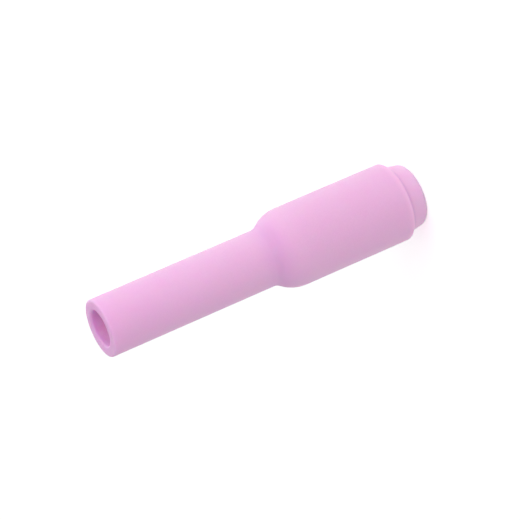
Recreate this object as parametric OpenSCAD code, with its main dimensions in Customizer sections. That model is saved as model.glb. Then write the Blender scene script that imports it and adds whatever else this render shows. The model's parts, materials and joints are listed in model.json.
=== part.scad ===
// Long ceramic gas nozzle for a TIG welding torch: a slim outlet tube, a thicker
// body with a sloped shoulder, and a tapered rear spigot with a coarse inside thread.
// The nozzle stands on its flat rear face at the origin, with its outlet up.

/* [Outlet tube] */
// Whole length, from the outlet face to the rear face
total_len = 76; // [66:1:90]
// Outside diameter of the outlet tube
tube_d = 12.7; // [12:0.1:13.5]
// Length of the plain outlet tube, up to where the shoulder starts
tube_len = 38.7; // [28:0.1:42]
// Diameter of the gas bore
bore_d = 7.9; // [6.4:0.1:8.4]
// Edge radius around the outlet face
outlet_edge_r = 0.4; // [0.2:0.05:0.8]
// Edge radius at the bore's mouth
mouth_edge_r = 0.5; // [0.2:0.05:0.8]

/* [Body and shoulder] */
// Outside diameter of the body
body_d = 17.5; // [17:0.1:20]
// Slope of the shoulder against the nozzle's axis, in degrees
shoulder_slope = 37; // [20:1:40]
// Radius of the hollow blend from the tube into the shoulder
hollow_r = 3; // [1:0.5:6]
// Radius of the crown blend from the shoulder into the body
crown_r = 8; // [1:0.5:12]
// Edge radius at the body's rear rim
rim_edge_r = 0.5; // [0.2:0.05:0.6]

/* [Rear spigot] */
// Diameter of the spigot where it leaves the body
spigot_base_d = 15.4; // [15:0.1:15.6]
// Outside diameter of the flat rear face
rear_face_d = 12; // [11.7:0.1:12.4]
// Length of the spigot, from the body's rear rim to the rear face
spigot_len = 4.5; // [3:0.1:8]
// Edge radius between the spigot and the rear face
spigot_edge_r = 1; // [0.5:0.1:1.2]

/* [Thread and cavity] */
// Diameter across the thread's crests, the narrowest part of the socket
crest_d = 9.9; // [9.8:0.1:10.1]
// Depth of the thread groove
groove_depth = 0.5; // [0.3:0.05:0.5]
// Distance from one turn of the thread to the next
pitch = 2; // [1.6:0.1:2.4]
// Number of turns of full depth
full_turns = 4; // [2:1:5]
// Width of the 45 degree countersink at the rear face
countersink = 0.55; // [0.55:0.05:0.7]
// Diameter of the plain cavity behind the thread
cavity_d = 9.4; // [8.6:0.1:9.4]
// Depth at which the cavity starts to narrow, from the rear face
cavity_depth = 31; // [22:1:34]
// Slope of the funnel from the cavity into the gas bore, in degrees
funnel_slope = 30; // [20:5:45]

/* [Hidden] */

$fn = 96;
arc_steps = 8;

tube_r = tube_d / 2;
bore_r = bore_d / 2;
body_r = body_d / 2;
spigot_r = spigot_base_d / 2;
rear_face_r = rear_face_d / 2;
crest_r = crest_d / 2;
cavity_r = cavity_d / 2;

// Stations along the axis, up from the rear face at 0
outlet_z = total_len;
hollow_z = outlet_z - tube_len;
rim_z = spigot_len;
cavity_end_z = cavity_depth;
bore_end_z = cavity_end_z + (cavity_r - bore_r) / tan(funnel_slope);

// The two blends shrink together where the shoulder's rise is too small for them.
shoulder_rise = body_r - tube_r;
blend_rise = (hollow_r + crown_r) * (1 - cos(shoulder_slope));
blend_scale = min(1, 0.95 * shoulder_rise / blend_rise);
hollow = hollow_r * blend_scale;
crown = crown_r * blend_scale;
cone_rise = shoulder_rise - blend_rise * blend_scale;
crown_z = hollow_z - (hollow + crown) * sin(shoulder_slope) - cone_rise / tan(shoulder_slope);

// The spigot's taper runs from a tangent on the rear edge's arc to the spigot's base.
edge_to_base = [spigot_r - rear_face_r, spigot_len - spigot_edge_r];
spigot_slope = acos(spigot_edge_r / norm(edge_to_base)) - atan2(edge_to_base[1], edge_to_base[0]);

// The thread starts half a turn below the rear face and fades out over about half a turn.
// The half step lets the fading groove leave the crests between two stations, never on one.
steps_per_turn = 36;
lead_turns = 0.5;
fade_turns = 0.5 + 0.5 / steps_per_turn;
thread_turns = full_turns + fade_turns;
crest_end_z = (full_turns + 1) * pitch;

// The groove takes less than half of the pitch at the crests, so the crests stay wide.
groove_mouth = 0.44 * pitch;
groove_floor = 0.2 * pitch;
groove_flank = (groove_mouth - groove_floor) / 2 / groove_depth;
groove_reach_in = 0.3;

// Points on an arc about [cx, cz], from angle a0 to angle a1
function arc(cx, cz, r, a0, a1) =
    [for (i = [0:arc_steps]) let (a = a0 + (a1 - a0) * i / arc_steps) [cx + r * cos(a), cz + r * sin(a)]];

// The outside of the wall's section, from the rear face up to the outlet face
function outer_outline() = concat(
    arc(rear_face_r, spigot_edge_r, spigot_edge_r, -90, -spigot_slope),
    [[spigot_r, rim_z]],
    arc(body_r - rim_edge_r, rim_z + rim_edge_r, rim_edge_r, -90, 0),
    arc(body_r - crown, crown_z, crown, 0, shoulder_slope),
    arc(tube_r + hollow, hollow_z, hollow, 180 + shoulder_slope, 180),
    arc(tube_r - outlet_edge_r, outlet_z - outlet_edge_r, outlet_edge_r, 0, 90)
);

// The inside of the wall's section, from the outlet face down to the rear face
function inner_outline() = concat(
    arc(bore_r + mouth_edge_r, outlet_z - mouth_edge_r, mouth_edge_r, 90, 180),
    [[bore_r, bore_end_z], [cavity_r, cavity_end_z]],
    [[cavity_r, crest_end_z + crest_r - cavity_r], [crest_r, crest_end_z]],
    [[crest_r, countersink], [crest_r + countersink, 0]]
);

// How far the groove's floor lies past the crests, after a number of turns
function depth_at(turns) = groove_depth * min(1, (thread_turns - turns) / fade_turns);

// One section of the groove: two points inside the bore and two on the groove's floor
function groove_section(turns) =
    let (
        angle = 360 * turns,
        z = pitch * turns,
        r_in = crest_r - groove_reach_in,
        r_out = crest_r + depth_at(turns),
        half_in = groove_mouth / 2 + groove_flank * groove_reach_in,
        half_out = groove_floor / 2
    )
    [for (p = [[r_in, half_in], [r_out, half_out], [r_out, -half_out], [r_in, -half_in]])
        [p[0] * cos(angle), p[0] * sin(angle), z + p[1]]];

// The helical groove of the right-hand thread, as a solid to cut away
module thread_groove() {
    steps = ceil((lead_turns + thread_turns) * steps_per_turn);
    points = [for (i = [0:steps]) each groove_section(i / steps_per_turn - lead_turns)];
    sides = [for (i = [0:steps - 1], k = [0:3])
        let (a = 4 * i + k, b = 4 * i + (k + 1) % 4)
        each [[a, b + 4, b], [a, a + 4, b + 4]]];
    first = [[0, 1, 2], [0, 2, 3]];
    last = [for (t = [[0, 2, 1], [0, 3, 2]]) [for (k = t) 4 * steps + k]];
    polyhedron(points, concat(sides, first, last), convexity = 10);
}

module gas_nozzle() {
    color("plum")
        difference() {
            rotate_extrude()
                polygon(concat(outer_outline(), inner_outline()));
            thread_groove();
        }
}

gas_nozzle();
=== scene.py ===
import json
import math

import bmesh
import bpy
from mathutils import Matrix, Vector


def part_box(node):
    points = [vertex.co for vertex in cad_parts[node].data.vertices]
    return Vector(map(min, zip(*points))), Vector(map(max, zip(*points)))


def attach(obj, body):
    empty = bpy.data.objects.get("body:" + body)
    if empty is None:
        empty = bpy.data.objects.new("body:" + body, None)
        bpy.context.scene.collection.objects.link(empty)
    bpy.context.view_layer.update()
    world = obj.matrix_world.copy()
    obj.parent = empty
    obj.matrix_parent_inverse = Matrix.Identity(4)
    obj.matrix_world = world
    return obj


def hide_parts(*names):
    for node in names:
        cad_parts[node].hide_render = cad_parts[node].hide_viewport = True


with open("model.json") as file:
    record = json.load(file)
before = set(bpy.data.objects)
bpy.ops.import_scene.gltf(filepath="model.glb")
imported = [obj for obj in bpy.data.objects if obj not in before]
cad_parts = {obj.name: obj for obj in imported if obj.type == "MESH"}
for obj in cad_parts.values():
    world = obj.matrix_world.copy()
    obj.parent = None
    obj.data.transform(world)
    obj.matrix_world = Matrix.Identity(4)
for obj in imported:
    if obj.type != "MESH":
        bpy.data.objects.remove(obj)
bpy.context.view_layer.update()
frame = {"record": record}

mm = 0.001
boxLow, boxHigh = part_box("gas_nozzle")
mounts = {mount["name"]: mount for mount in frame["record"]["mounts"]}
print("frame loaded, nozzle", round((boxHigh.z - boxLow.z) / mm, 2), "mm long")

colourMix = {"factor": 0, "low": 6, "high": 7, "result": 2}  # a Mix node's sockets for colours


def putNode(tree, kind, inputs=(), **settings):
    # one node; inputs are (socket name or number, value or another node's socket)
    node = tree.nodes.new(kind)
    for key, value in settings.items():
        setattr(node, key, value)
    for socket, value in inputs:
        if isinstance(value, bpy.types.NodeSocket):
            tree.links.new(value, node.inputs[socket])
        else:
            node.inputs[socket].default_value = value
    return node


def calc(tree, operation, *values):
    return putNode(tree, "ShaderNodeMath", list(enumerate(values)), operation=operation).outputs[0]


def remap(tree, value, fromLow, fromHigh, toLow=0.0, toHigh=1.0, curve="SMOOTHSTEP"):
    inputs = [("Value", value), ("From Min", fromLow), ("From Max", fromHigh),
              ("To Min", toLow), ("To Max", toHigh)]
    return putNode(tree, "ShaderNodeMapRange", inputs, interpolation_type=curve).outputs["Result"]


def blendColour(tree, factor, low, high, mode="MIX"):
    inputs = [(colourMix["factor"], factor)]
    for side, colour in (("low", low), ("high", high)):
        plain = not isinstance(colour, bpy.types.NodeSocket)
        inputs.append((colourMix[side], (*colour, 1.0) if plain else colour))
    mix = putNode(tree, "ShaderNodeMix", data_type="RGBA", blend_type=mode)
    for number, value in inputs:
        if isinstance(value, bpy.types.NodeSocket):
            tree.links.new(value, mix.inputs[number])
        else:
            mix.inputs[number].default_value = value
    return mix.outputs[colourMix["result"]]


def addSockets(tree, direction, sockets):
    for name, kind in sockets:
        tree.interface.new_socket(name=name, in_out=direction, socket_type="NodeSocket" + kind)


cameraPlace = {
    "location": (-0.0001, -0.4872, 0.2281),
    "lookDown": 21.33,  # degrees below level
    "roll": -113.45,    # degrees, so the nozzle lies across the picture with its outlet at the lower left
    "lens": 173.1,
    "sensor": 36.0,
    "clip": (0.01, 20.0),
}


def makeCamera(place):
    data = bpy.data.cameras.new("camera")
    data.lens = place["lens"]
    data.sensor_width = place["sensor"]
    data.clip_start, data.clip_end = place["clip"]
    camera = bpy.data.objects.new("camera", data)
    bpy.context.scene.collection.objects.link(camera)
    tilt = Matrix.Rotation(math.radians(90 - place["lookDown"]), 4, "X")
    turn = Matrix.Rotation(math.radians(place["roll"]), 4, "Z")
    camera.matrix_world = Matrix.Translation(place["location"]) @ tilt @ turn
    bpy.context.scene.camera = camera


makeCamera(cameraPlace)
print("camera placed")

nozzleSizes = {  # mm and degrees, heights up from the rear face
    "length": (boxHigh.z - boxLow.z) / mm,
    "bodyRadius": (boxHigh.x - boxLow.x) / 2 / mm,
    "tubeRadius": 6.35,
    "tubeLength": 38.7,
    "shoulderSlope": 37.0,
    "hollowRound": 3.0,
    "crownRound": 8.0,
    "rimRound": 0.5,
    "rimHeight": mounts["shoulder_seat"]["pos_m"][2] / mm,
    "creaseRound": 0.15,     # where the spigot meets the rim
    "spigotRadius": 7.7,
    "rearFaceRadius": 6.0,
    "spigotRound": 1.0,
    "outletRound": 0.4,
    "mouthRound": 0.5,
    "boreRadius": mounts["gas_bore"]["dims"]["r_mm"],
    "cavityRadius": mounts["collet_cavity"]["dims"]["r_mm"],
    "cavityDepth": 31.0,
    "funnelSlope": 30.0,
    "funnelRound": 1.0,
    "crestRadius": mounts["thread_socket"]["dims"]["r_mm"],
    "crestDepth": 10.0,
    "countersink": 0.55,
    "crestRound": 0.2,       # at the end of the crests
    "countersinkRound": 0.1,

    # painted light and shade at a corner, and how far it spreads: 1 is paler (painted highlight and glow, and
    # rubbed wear at the countersink), -1 is deeper (painted shade)
    # painted glow at the spigot end, standing in for light through its thin wall
    "rearPaintedGlow": (1.0, 7.0),
    # painted shade in the crease where the spigot meets the rim
    "creasePaintedShade": (-1.3, 0.7),
    # painted highlight along the rim's rounded edge
    "rimPaintedHighlight": (1.0, 0.9),
    # painted shade in the hollow at the neck
    "hollowPaintedShade": (-0.6, 4.5),
    # painted shade, the outlet end a little darker over a wide spread
    "outletPaintedShade": (-0.25, 30.0),
    # painted shade inside the bore's mouth
    "mouthPaintedShade": (-0.7, 3.2),
    "countersinkTone": (0.5, 0.6),

    "pitch": 2.0,
    "grooveDepth": 0.5,
    "grooveMouth": 0.88,
    "grooveFloor": 0.40,
    "threadTurns": 4.5,
    "fadeTurns": 0.5,

    "unevenness": 0.02,
    "unevennessScale": 160.0,  # waves to a metre
    "unevennessDetail": 2.0,
    "seed": 7,

    "sides": 192,
    "sweepRadius": 6.0,
    "rowGap": 1.0,             # between the section's points
    "threadRowGap": 0.1,
    "guardGap": 0.08,          # from an arc to the row that keeps the shading beside it flat
    "arcStep": 9.0,            # degrees
    "arcStepsLeast": 3,
}


def makeCorner(radius, height, rounding, paintedShadingAndWear=(0.0, 1.0), threaded=False):
    # threaded says that the thread is cut into the stretch after this corner
    # the corner's painted light and shade (wear at the countersink), and how far it spreads
    strength, spread = paintedShadingAndWear
    return {"point": Vector((radius, height)), "rounding": rounding,
            "paintedShadingAndWear": strength, "spread": spread, "threaded": threaded}


def sectionCorners(size):
    # round the wall's section: from the rear face up the outside, and down the bore
    slope = math.tan(math.radians(size["shoulderSlope"]))
    halfSlope = math.tan(math.radians(size["shoulderSlope"] / 2))
    funnel = math.tan(math.radians(size["funnelSlope"]))
    spigotSide = Vector((size["spigotRadius"] - size["rearFaceRadius"],
                         size["rimHeight"] - size["spigotRound"]))
    lean = math.acos(size["spigotRound"] / spigotSide.length) - math.atan2(spigotSide.y, spigotSide.x)
    rearRadius = size["spigotRadius"] - math.tan(lean) * size["rimHeight"]
    hollowHeight = size["length"] - size["tubeLength"] - size["hollowRound"] * halfSlope
    crownHeight = hollowHeight - (size["bodyRadius"] - size["tubeRadius"]) / slope
    funnelTop = size["cavityDepth"] + (size["cavityRadius"] - size["boreRadius"]) / funnel
    crestStep = size["crestRadius"] - size["cavityRadius"]
    return [
        makeCorner(rearRadius, 0.0, size["spigotRound"], size["rearPaintedGlow"]),
        makeCorner(size["spigotRadius"], size["rimHeight"], size["creaseRound"], size["creasePaintedShade"]),
        makeCorner(size["bodyRadius"], size["rimHeight"], size["rimRound"], size["rimPaintedHighlight"]),
        makeCorner(size["bodyRadius"], crownHeight, size["crownRound"]),
        makeCorner(size["tubeRadius"], hollowHeight, size["hollowRound"], size["hollowPaintedShade"]),
        makeCorner(size["tubeRadius"], size["length"], size["outletRound"], size["outletPaintedShade"]),
        makeCorner(size["boreRadius"], size["length"], size["mouthRound"], size["mouthPaintedShade"]),
        makeCorner(size["boreRadius"], funnelTop, size["funnelRound"]),
        makeCorner(size["cavityRadius"], size["cavityDepth"], size["funnelRound"]),
        makeCorner(size["cavityRadius"], size["crestDepth"] + crestStep, size["crestRound"]),
        makeCorner(size["crestRadius"], size["crestDepth"], size["countersinkRound"], threaded=True),
        makeCorner(size["crestRadius"], size["countersink"], size["countersinkRound"],
                   size["countersinkTone"], threaded=True),
        makeCorner(size["crestRadius"] + size["countersink"], 0.0, size["countersinkRound"],
                   size["countersinkTone"]),
    ]


def roundCorner(before, corner, after, radius, size):
    # points along the arc that rounds one corner
    into = (corner - before).normalized()
    out = (after - corner).normalized()
    turn = into.angle_signed(out)
    start = corner - into * (radius * math.tan(abs(turn) / 2))
    steps = max(size["arcStepsLeast"], round(math.degrees(abs(turn)) / size["arcStep"]))
    centre = start + Vector((into.y, -into.x)) * radius * math.copysign(1.0, turn)
    spoke = start - centre
    return [centre + Matrix.Rotation(-turn * step / steps, 2) @ spoke for step in range(steps + 1)]


def stretchRows(start, end, gap, guard):
    # points between two arcs, with a guard row beside each; none where the arcs all but meet
    length = (end - start).length
    if length < 3 * guard:
        return []
    inner = length - 2 * guard
    count = max(1, math.ceil(inner / gap))
    places = [guard + inner * step / count for step in range(count + 1)]
    return [start.lerp(end, place / length) for place in places]


def paintedShadingAndWearAt(point, corners, middles):
    # the corners' painted light and shade, and the countersink's wear, added up, each fading smoothly over its
    # spread
    total = 0.0
    for corner, middle in zip(corners, middles):
        near = max(0.0, 1 - (point - middle).length / corner["spread"])
        total += corner["paintedShadingAndWear"] * near * near * (3 - 2 * near)
    return total


def sectionRows(size):
    corners = sectionCorners(size)
    points = [corner["point"] for corner in corners]
    around = zip([points[-1]] + points[:-1], points, points[1:] + [points[0]], corners)
    arcs = [roundCorner(before, point, after, corner["rounding"], size)
            for before, point, after, corner in around]
    middles = [arc[(len(arc) - 1) // 2] for arc in arcs]
    rows = []
    for corner, arc, following in zip(corners, arcs, arcs[1:] + [arcs[0]]):
        gap = size["threadRowGap"] if corner["threaded"] else size["rowGap"]
        for point in arc + stretchRows(arc[-1], following[0], gap, size["guardGap"]):
            # each row carries its painted light and shade, and whether the thread is cut there
            rows.append({"point": point, "paintedShadingAndWear": paintedShadingAndWearAt(point, corners, middles),
                         "threadWall": float(corner["threaded"])})
    return rows


def makeSection(rows, sweepRadius):
    # the loop as a wire, set back by the radius that the sweep gives it
    mesh = bpy.data.meshes.new("nozzleSection")
    points = [(row["point"].x * mm - sweepRadius, -row["point"].y * mm, 0.0) for row in rows]
    count = len(points)
    mesh.from_pydata(points, [(i, (i + 1) % count) for i in range(count)], [])
    # the painted light and shade (with the countersink's wear), and where the thread is cut
    for name in ("paintedShadingAndWear", "threadWall"):
        attribute = mesh.attributes.new(name, "FLOAT", "POINT")
        attribute.data.foreach_set("value", [row[name] for row in rows])
    section = bpy.data.objects.new("gasNozzle", mesh)
    bpy.context.scene.collection.objects.link(section)
    return section


def turningInputs(size, material):
    # the turning tree's named inputs, lengths in metres
    return {
        "Sweep Radius": ("Float", size["sweepRadius"] * mm),
        "Sides": ("Int", size["sides"]),
        "Pitch": ("Float", size["pitch"] * mm),
        "Crest Radius": ("Float", size["crestRadius"] * mm),
        "Groove Depth": ("Float", size["grooveDepth"] * mm),
        "Groove Mouth": ("Float", size["grooveMouth"] * mm),
        "Groove Floor": ("Float", size["grooveFloor"] * mm),
        "Thread Turns": ("Float", size["threadTurns"]),
        "Fade Turns": ("Float", size["fadeTurns"]),
        "Unevenness": ("Float", size["unevenness"] * mm),
        "Unevenness Scale": ("Float", size["unevennessScale"]),
        "Unevenness Detail": ("Float", size["unevennessDetail"]),
        "Seed": ("Int", size["seed"]),
        "Material": ("Material", material),
    }


def makeTurningTree(inputs):
    # sweeps the section round the axis, cuts the right-hand thread and leaves the surface a little uneven
    tree = bpy.data.node_groups.new("turnedNozzle", "GeometryNodeTree")
    addSockets(tree, "INPUT", [("Section", "Geometry")] + [(name, kind) for name, (kind, _) in inputs.items()])
    addSockets(tree, "OUTPUT", [("Nozzle", "Geometry")])
    given = putNode(tree, "NodeGroupInput").outputs

    loop = putNode(tree, "GeometryNodeMeshToCurve", [("Mesh", given["Section"])])
    path = putNode(tree, "GeometryNodeCurvePrimitiveCircle",
                   [("Resolution", given["Sides"]), ("Radius", given["Sweep Radius"])])
    swept = putNode(tree, "GeometryNodeCurveToMesh",
                    [("Curve", path.outputs["Curve"]), ("Profile Curve", loop.outputs["Curve"])])
    flipped = putNode(tree, "GeometryNodeFlipFaces", [("Mesh", swept.outputs["Mesh"])])

    # where a point lies on the helix: its nearest turn, and how far along the axis from that turn's middle
    position = putNode(tree, "GeometryNodeInputPosition").outputs[0]
    axes = putNode(tree, "ShaderNodeSeparateXYZ", [(0, position)]).outputs
    spoke = putNode(tree, "ShaderNodeCombineXYZ", [("X", axes["X"]), ("Y", axes["Y"])]).outputs[0]
    radius = putNode(tree, "ShaderNodeVectorMath", [(0, spoke)], operation="LENGTH").outputs["Value"]
    around = calc(tree, "DIVIDE", calc(tree, "ARCTAN2", axes["Y"], axes["X"]), 2 * math.pi)
    along = calc(tree, "DIVIDE", axes["Z"], given["Pitch"])
    phase = calc(tree, "SUBTRACT", along, around)
    offTurn = calc(tree, "SUBTRACT", phase, calc(tree, "ROUND", phase))
    distance = calc(tree, "MULTIPLY", calc(tree, "ABSOLUTE", offTurn), given["Pitch"])
    turn = calc(tree, "SUBTRACT", along, offTurn)

    # the groove's section and its run-out
    halfMouth = calc(tree, "MULTIPLY", given["Groove Mouth"], 0.5)
    halfFloor = calc(tree, "MULTIPLY", given["Groove Floor"], 0.5)
    groove = remap(tree, distance, halfMouth, halfFloor)
    fadeStart = calc(tree, "SUBTRACT", given["Thread Turns"], given["Fade Turns"])
    fade = remap(tree, turn, given["Thread Turns"], fadeStart, curve="LINEAR")
    depth = calc(tree, "MULTIPLY", calc(tree, "MULTIPLY", groove, fade), given["Groove Depth"])
    cutRadius = calc(tree, "ADD", given["Crest Radius"], depth)
    push = calc(tree, "MAXIMUM", calc(tree, "SUBTRACT", cutRadius, radius), 0.0)
    threadWall = putNode(tree, "GeometryNodeInputNamedAttribute", [("Name", "threadWall")],
                         data_type="FLOAT").outputs["Attribute"]
    push = calc(tree, "MULTIPLY", push, threadWall)
    outward = putNode(tree, "ShaderNodeVectorMath", [(0, spoke)], operation="NORMALIZE").outputs[0]
    cut = putNode(tree, "ShaderNodeVectorMath", [(0, outward), ("Scale", push)], operation="SCALE").outputs[0]
    threaded = putNode(tree, "GeometryNodeSetPosition", [("Geometry", flipped.outputs[0]), ("Offset", cut)])

    # a pressed and fired surface is never quite true
    normal = putNode(tree, "GeometryNodeInputNormal").outputs[0]
    noise = putNode(tree, "ShaderNodeTexNoise",
                    [("Vector", position), ("W", given["Seed"]), ("Scale", given["Unevenness Scale"]),
                     ("Detail", given["Unevenness Detail"])], noise_dimensions="4D").outputs[0]
    dip = calc(tree, "MULTIPLY", calc(tree, "MULTIPLY", noise, given["Unevenness"]), -1.0)
    sunk = putNode(tree, "ShaderNodeVectorMath", [(0, normal), ("Scale", dip)], operation="SCALE").outputs[0]
    uneven = putNode(tree, "GeometryNodeSetPosition", [("Geometry", threaded.outputs[0]), ("Offset", sunk)])

    smooth = putNode(tree, "GeometryNodeSetShadeSmooth", [("Geometry", uneven.outputs[0])])
    real = putNode(tree, "GeometryNodeRealizeInstances", [("Geometry", smooth.outputs[0])])
    coated = putNode(tree, "GeometryNodeSetMaterial",
                     [("Geometry", real.outputs[0]), ("Material", given["Material"])])
    putNode(tree, "NodeGroupOutput", [("Nozzle", coated.outputs[0])])
    return tree


def turnNozzle(section, tree, inputs):
    # sets the inputs by their identifiers, then keeps the evaluated result as a plain mesh
    modifier = section.modifiers.new("turning", "NODES")
    modifier.node_group = tree
    for item in tree.interface.items_tree:
        if item.in_out == "INPUT" and item.name in inputs:
            modifier[item.identifier] = inputs[item.name][1]
    depsgraph = bpy.context.evaluated_depsgraph_get()
    mesh = bpy.data.meshes.new_from_object(section.evaluated_get(depsgraph),
                                           preserve_all_data_layers=True, depsgraph=depsgraph)
    section.modifiers.remove(modifier)
    section.data = mesh
    shell = bmesh.new()
    shell.from_mesh(mesh)
    bmesh.ops.recalc_face_normals(shell, faces=shell.faces)
    shell.to_mesh(mesh)
    shell.free()
    return section


aluminaLook = {
    "pink": (0.893, 0.530, 0.799),
    "driftPink": (0.885, 0.521, 0.789),
    "paintedHighlightAndWearPink": (1.0, 0.585, 0.83),   # painted highlight at the rim and painted glow at the spigot end, and rubbed wear at the countersink
    "paintedShadePink": (0.82, 0.44, 0.78),   # painted shade in the crease, the hollow, the bore's mouth and over the outlet end
    "roughness": (0.52, 0.66),
    "ior": 1.6,
    "specular": 0.3,
    "translucency": 1.0,
    "lightReach": 2.0 * mm,
    "reachByColour": (1.0, 0.5, 0.8),
    "grainScale": 3500.0,
    "driftScale": 60.0,
    "darkestGrain": 0.965,
    "bumpStrength": 0.12,
    "bumpHeight": 0.05 * mm,
}

grainPattern = {
    "grainDetail": 4.0,
    "grainRoughness": 0.65,
    "grainSpan": (0.3, 0.7),
    "driftDetail": 3.0,
    "driftSpan": (0.35, 0.65),
    "grainShare": 0.7,   # of the height, and the pits have the rest
    "pitShare": 0.3,
}


def makeGrainGroup(pattern):
    # fine powder grain, slow colour drift from the kiln, and the height of the grain
    tree = bpy.data.node_groups.new("firedGrain", "ShaderNodeTree")
    addSockets(tree, "INPUT", [("Coordinates", "Vector"), ("Grain Scale", "Float"), ("Drift Scale", "Float")])
    addSockets(tree, "OUTPUT", [("Grain", "Float"), ("Drift", "Float"), ("Height", "Float")])
    given = putNode(tree, "NodeGroupInput").outputs
    place = ("Vector", given["Coordinates"])
    fine = ("Scale", given["Grain Scale"])
    grain = putNode(tree, "ShaderNodeTexNoise", [place, fine, ("Detail", pattern["grainDetail"]),
                                                ("Roughness", pattern["grainRoughness"])]).outputs[0]
    drift = putNode(tree, "ShaderNodeTexNoise", [place, ("Scale", given["Drift Scale"]),
                                                ("Detail", pattern["driftDetail"])]).outputs[0]
    pits = putNode(tree, "ShaderNodeTexVoronoi", [place, fine]).outputs["Distance"]
    height = calc(tree, "ADD", calc(tree, "MULTIPLY", grain, pattern["grainShare"]),
                  calc(tree, "MULTIPLY", pits, pattern["pitShare"]))
    putNode(tree, "NodeGroupOutput", [("Grain", remap(tree, grain, *pattern["grainSpan"])),
                                      ("Drift", remap(tree, drift, *pattern["driftSpan"])),
                                      ("Height", height)])
    return tree


def makeAlumina(grainGroup, look):
    material = bpy.data.materials.new("pinkAlumina")
    material.use_nodes = True
    tree = material.node_tree
    tree.nodes.clear()
    place = putNode(tree, "ShaderNodeTexCoord").outputs["Object"]
    grain = putNode(tree, "ShaderNodeGroup", node_tree=grainGroup)
    grain.inputs["Grain Scale"].default_value = look["grainScale"]
    grain.inputs["Drift Scale"].default_value = look["driftScale"]
    tree.links.new(place, grain.inputs["Coordinates"])
    drift = grain.outputs["Drift"]
    # painted light and shade from the section's corners, with rubbed wear at the countersink
    paintedShadingAndWear = putNode(tree, "ShaderNodeAttribute", attribute_name="paintedShadingAndWear").outputs["Fac"]

    colour = blendColour(tree, drift, look["driftPink"], look["pink"])
    speckle = remap(tree, grain.outputs["Grain"], 0.0, 1.0, look["darkestGrain"], 1.0, "LINEAR")
    grey = putNode(tree, "ShaderNodeCombineColor", [(0, speckle), (1, speckle), (2, speckle)]).outputs[0]
    colour = blendColour(tree, 1.0, colour, grey, "MULTIPLY")
    # paler: painted highlight and glow, and rubbed wear at the countersink
    colour = blendColour(tree, remap(tree, paintedShadingAndWear, 0.0, 1.0, curve="LINEAR"), colour, look["paintedHighlightAndWearPink"])
    # deeper: painted shade
    colour = blendColour(tree, remap(tree, paintedShadingAndWear, 0.0, -1.0, curve="LINEAR"), colour, look["paintedShadePink"])

    roughness = remap(tree, drift, 0.0, 1.0, *look["roughness"], "LINEAR")
    bump = putNode(tree, "ShaderNodeBump", [("Strength", look["bumpStrength"]), ("Distance", look["bumpHeight"]),
                                            ("Height", grain.outputs["Height"])])
    shader = putNode(tree, "ShaderNodeBsdfPrincipled", [
        ("Base Color", colour),
        ("Roughness", roughness),
        ("IOR", look["ior"]),
        ("Specular IOR Level", look["specular"]),
        ("Subsurface Weight", look["translucency"]),
        ("Subsurface Scale", look["lightReach"]),
        ("Subsurface Radius", look["reachByColour"]),
        ("Normal", bump.outputs[0]),
    ])
    putNode(tree, "ShaderNodeOutputMaterial", [("Surface", shader.outputs[0])])
    return material


pinkAlumina = makeAlumina(makeGrainGroup(grainPattern), aluminaLook)
print("alumina mixed")

rows = sectionRows(nozzleSizes)
inputs = turningInputs(nozzleSizes, pinkAlumina)
section = makeSection(rows, nozzleSizes["sweepRadius"] * mm)
nozzle = turnNozzle(section, makeTurningTree(inputs), inputs)
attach(nozzle, "root")
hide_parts("gas_nozzle")
print("nozzle turned,", len(rows), "rows,", len(nozzle.data.polygons), "faces")

studio = {
    "floorRadius": 3.0,
    "floorSides": 96,
    "floorColour": (0.95, 0.95, 0.95),
    "floorLift": 0.40,     # seen by the camera and in gloss, but lights nothing else
    "ambient": 0.66,
    "overhead": 0.30,      # the light from straight above
    "domeRise": (0.5, 1.0),  # the heights on the dome between which ambient turns to overhead
}

lamps = {  # degrees round from +X and up, metres away, width and height, and the level at the nozzle
    "frontSoftbox": {"around": -60.0, "up": 37.0, "distance": 0.9, "size": (1.0, 0.6), "level": 0.365},
    "sideStrip": {"around": 0.0, "up": 10.0, "distance": 0.9, "size": (1.0, 0.3), "level": 0.20},
    "backStrip": {"around": 60.0, "up": 10.0, "distance": 0.9, "size": (1.0, 0.3), "level": 0.20},
}


def backgroundRay(tree):
    # 1 for the rays that see the background as white: the camera's, and those off gloss or through glass
    path = putNode(tree, "ShaderNodeLightPath").outputs
    through = calc(tree, "MAXIMUM", path["Is Glossy Ray"], path["Is Transmission Ray"])
    return calc(tree, "MAXIMUM", path["Is Camera Ray"], through)


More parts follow.
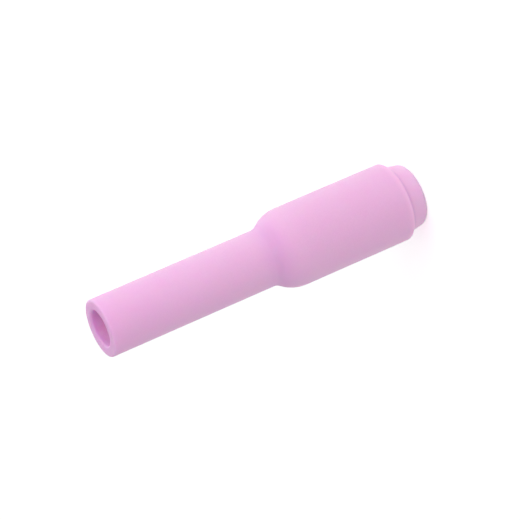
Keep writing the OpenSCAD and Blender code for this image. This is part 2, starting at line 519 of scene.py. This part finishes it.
def makeFloor(place):
    mesh = bpy.data.meshes.new("floor")
    disc = bmesh.new()
    bmesh.ops.create_circle(disc, cap_ends=True, segments=place["floorSides"], radius=place["floorRadius"])
    disc.to_mesh(mesh)
    disc.free()
    floor = bpy.data.objects.new("floor", mesh)
    bpy.context.scene.collection.objects.link(floor)
    material = bpy.data.materials.new("paleFloor")
    material.use_nodes = True
    tree = material.node_tree
    tree.nodes.clear()
    matt = putNode(tree, "ShaderNodeBsdfDiffuse", [("Color", (*place["floorColour"], 1.0))])
    strength = calc(tree, "MULTIPLY", backgroundRay(tree), place["floorLift"])
    lift = putNode(tree, "ShaderNodeEmission", [("Strength", strength)])
    both = putNode(tree, "ShaderNodeAddShader", [(0, matt.outputs[0]), (1, lift.outputs[0])])
    putNode(tree, "ShaderNodeOutputMaterial", [("Surface", both.outputs[0])])
    mesh.materials.append(material)


def makeWorld(place):
    world = bpy.data.worlds.new("studio")
    bpy.context.scene.world = world
    world.use_nodes = True
    tree = world.node_tree
    tree.nodes.clear()
    way = putNode(tree, "ShaderNodeTexCoord").outputs["Generated"]
    rise = putNode(tree, "ShaderNodeSeparateXYZ", [(0, way)]).outputs["Z"]
    dome = remap(tree, rise, *place["domeRise"], place["ambient"], place["overhead"])
    level = putNode(tree, "ShaderNodeMix", [("Factor", backgroundRay(tree)), ("A", dome), ("B", 1.0)]).outputs[0]
    back = putNode(tree, "ShaderNodeBackground", [("Color", (1.0, 1.0, 1.0, 1.0)), ("Strength", level)])
    putNode(tree, "ShaderNodeOutputWorld", [("Surface", back.outputs[0])])


def makeLamp(name, lamp, target):
    data = bpy.data.lights.new(name, "AREA")
    data.shape = "RECTANGLE"
    data.size, data.size_y = lamp["size"]
    data.energy = lamp["level"] * (math.pi * lamp["distance"]) ** 2  # a white sheet facing it shows at this level
    around = Matrix.Rotation(math.radians(lamp["around"]), 3, "Z")
    towards = around @ Matrix.Rotation(-math.radians(lamp["up"]), 3, "Y") @ Vector((1.0, 0.0, 0.0))
    light = bpy.data.objects.new(name, data)
    light.location = target + towards * lamp["distance"]
    light.rotation_mode = "QUATERNION"
    light.rotation_quaternion = (-towards).to_track_quat("-Z", "Y")
    bpy.context.scene.collection.objects.link(light)


makeFloor(studio)
makeWorld(studio)
for name, lamp in lamps.items():
    makeLamp(name, lamp, (boxLow + boxHigh) / 2)
bpy.context.scene.view_settings.view_transform = "Standard"
print("studio lit")
